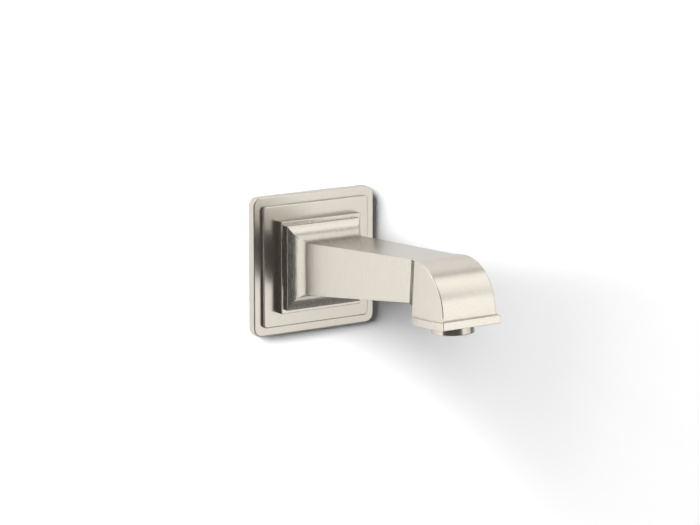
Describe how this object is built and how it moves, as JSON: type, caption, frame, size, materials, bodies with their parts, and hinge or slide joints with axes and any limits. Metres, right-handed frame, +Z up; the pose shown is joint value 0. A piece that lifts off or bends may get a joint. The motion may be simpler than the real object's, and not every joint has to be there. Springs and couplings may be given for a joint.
{
  "type": "wall mounted bath spout",
  "caption": "Wall mounted tub spout: square stepped wall plate, coved plinth, tapering rectangular arm and a wider quarter-round hood with a lip and a screw-in aerator.",
  "frame": {"origin": "centre of the wall plate's back, in the wall's plane", "axes": "+Y into the wall (the spout reaches out along -Y), +Z up, +X to the right as seen from the tub"},
  "size_m": [0.1016, 0.207, 0.1016],
  "materials": {
    "satin_nickel": "warm satin nickel, finely brushed",
    "aerator_nickel": "satin nickel, smoother than the casting",
    "foam": "closed-cell foam",
    "seal_rubber": "smooth rubber",
    "brass": "turned brass",
    "waterway_plastic": "moulded, off-white",
    "cover_plastic": "moulded, dark",
    "aerator_plastic": "moulded, white",
    "steel": "plain stainless steel"
  },
  "bodies": {
    "spout": {"escutcheon": "satin_nickel", "wall_gasket": "foam", "plinth_seal": "seal_rubber", "spout_shell": "satin_nickel", "inlet_adapter": "brass", "adapter_o_ring_rear": "seal_rubber", "adapter_o_ring_front": "seal_rubber", "waterway_inlet": "waterway_plastic", "waterway_tube": "waterway_plastic", "tube_o_ring_inlet": "seal_rubber", "tube_o_ring_outlet": "seal_rubber", "outlet_elbow": "waterway_plastic", "outlet_cover": "cover_plastic", "cover_screws": "steel"},
    "aerator_seal": {"aerator_washer": "seal_rubber"},
    "aerator": {"aerator_housing": "aerator_nickel", "aerator_straightener": "aerator_plastic", "aerator_screen": "steel", "aerator_jet_disc": "aerator_plastic"},
    "lock_screw": {"set_screw": "steel"}
  },
  "joints": [
    {"name": "aerator_lift", "type": "slide", "parent": "spout", "child": "aerator_seal", "axis": [0, -0.0872, -0.9962], "range_m": [0, 0.006]},
    {"name": "aerator_turn", "type": "hinge", "parent": "aerator_seal", "child": "aerator", "pos_m": [0, -0.1837, -0.01235], "axis": [0, -0.0872, -0.9962], "range_deg": [0, 2160]},
    {"name": "lock_screw_back_out", "type": "slide", "parent": "spout", "child": "lock_screw", "axis": [0, 0, -1], "range_m": [0, 0.004]}
  ],
  "couplings": [
    {"joint": "aerator_lift", "follows": "aerator_turn", "m_per_rad": 0.00015915}
  ]
}
